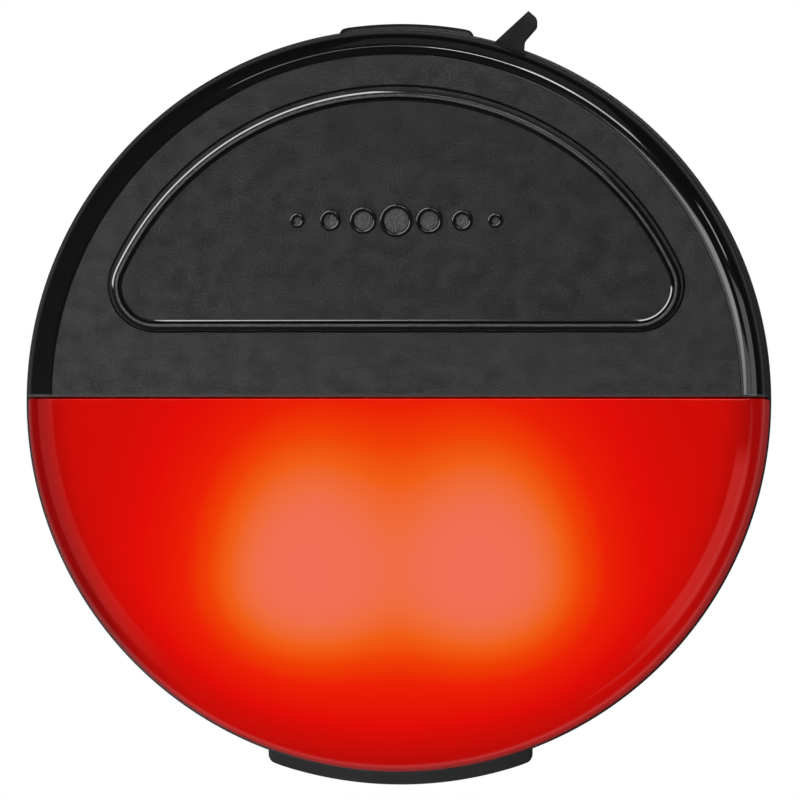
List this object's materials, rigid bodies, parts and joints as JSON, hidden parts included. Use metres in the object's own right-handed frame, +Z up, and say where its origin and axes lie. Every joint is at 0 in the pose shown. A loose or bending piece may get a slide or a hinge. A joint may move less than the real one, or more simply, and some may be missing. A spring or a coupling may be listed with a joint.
{
  "type": "round clip-on rear light",
  "caption": "Round clip-on safety light: black upper half with a large push button, glowing red lower lens, rubber port flap and a sprung clip behind.",
  "frame": {"origin": "centre of the flat back face of the body", "axes": "+Y out of the back face towards the clip, so the light faces -Y; +Z up; +X to the right seen from the front"},
  "size_m": [0.05, 0.0223, 0.0518],
  "materials": {
    "housing_plastic": "black ABS, fine matte texture on the face and polished on the rim",
    "red_lens": "polished translucent red, lit from behind",
    "button_plastic": "fine matte texture with a polished bead",
    "shell_plastic": "satin black",
    "flap_rubber": "matte black rubber",
    "seal_rubber": "grey silicone",
    "chip_plastic": "moulded epoxy",
    "ceramic": "ceramic with tinned ends",
    "board_green": "green solder mask",
    "lamp_package": "white moulded package",
    "clear_resin": "clear domed resin",
    "white_plastic": "bright white",
    "milky_sheet": "milky translucent sheet",
    "cell_foil": "laminated foil pouch",
    "foam": "closed-cell adhesive foam",
    "nickel": "nickel strip",
    "steel": "bright stainless steel",
    "screw_steel": "black oxide steel",
    "spring_steel": "drawn spring wire"
  },
  "bodies": {
    "body": {"front_housing": "housing_plastic", "lens": "red_lens", "button_seal": "seal_rubber", "switch_base": "chip_plastic", "switch_cover": "steel", "snap_dome": "steel", "circuit_board": "board_green", "controller_chip": "chip_plastic", "charge_chip": "chip_plastic", "board_parts": "ceramic", "lamp_left": "lamp_package", "lamp_right": "lamp_package", "lamp_dome_left": "clear_resin", "lamp_dome_right": "clear_resin", "reflector_tray": "white_plastic", "diffuser_sheet": "milky_sheet", "battery_cell": "cell_foil", "battery_foam": "foam", "battery_tabs": "nickel", "usb_socket": "steel", "usb_tongue": "chip_plastic", "flap_anchor": "flap_rubber", "back_shell": "shell_plastic", "case_seal": "seal_rubber", "case_screws": "screw_steel", "hinge_pin": "steel", "torsion_spring": "spring_steel"},
    "button": {"mode_button": "button_plastic"},
    "plunger": {"switch_plunger": "button_plastic"},
    "flap": {"port_flap": "flap_rubber"},
    "clip": {"clip_lever": "shell_plastic", "clip_pad": "flap_rubber"}
  },
  "joints": [
    {"name": "button_press", "type": "slide", "parent": "body", "child": "button", "axis": [0, 1, 0], "range_m": [0, 0.0004], "stiffness_N_per_m": 2000},
    {"name": "switch_press", "type": "slide", "parent": "body", "child": "plunger", "axis": [0, 1, 0], "range_m": [0, 0.0004], "deforming": ["snap_dome"]},
    {"name": "clip_open", "type": "hinge", "parent": "body", "child": "clip", "pos_m": [0, 0.0034, 0.011], "axis": [1, 0, 0], "range_deg": [0, 15], "stiffness_Nm_per_rad": 0.15, "springref_deg": -28.65, "deforming": ["torsion_spring"]},
    {"name": "port_flap_swing", "type": "hinge", "parent": "body", "child": "flap", "pos_m": [-0.00558, -0.00883, 0.02406], "axis": [0, -1, 0], "range_deg": [0, 100], "stiffness_Nm_per_rad": 0.001}
  ],
  "couplings": [
    {"joint": "switch_press", "follows": "button_press", "ratio": 1}
  ]
}
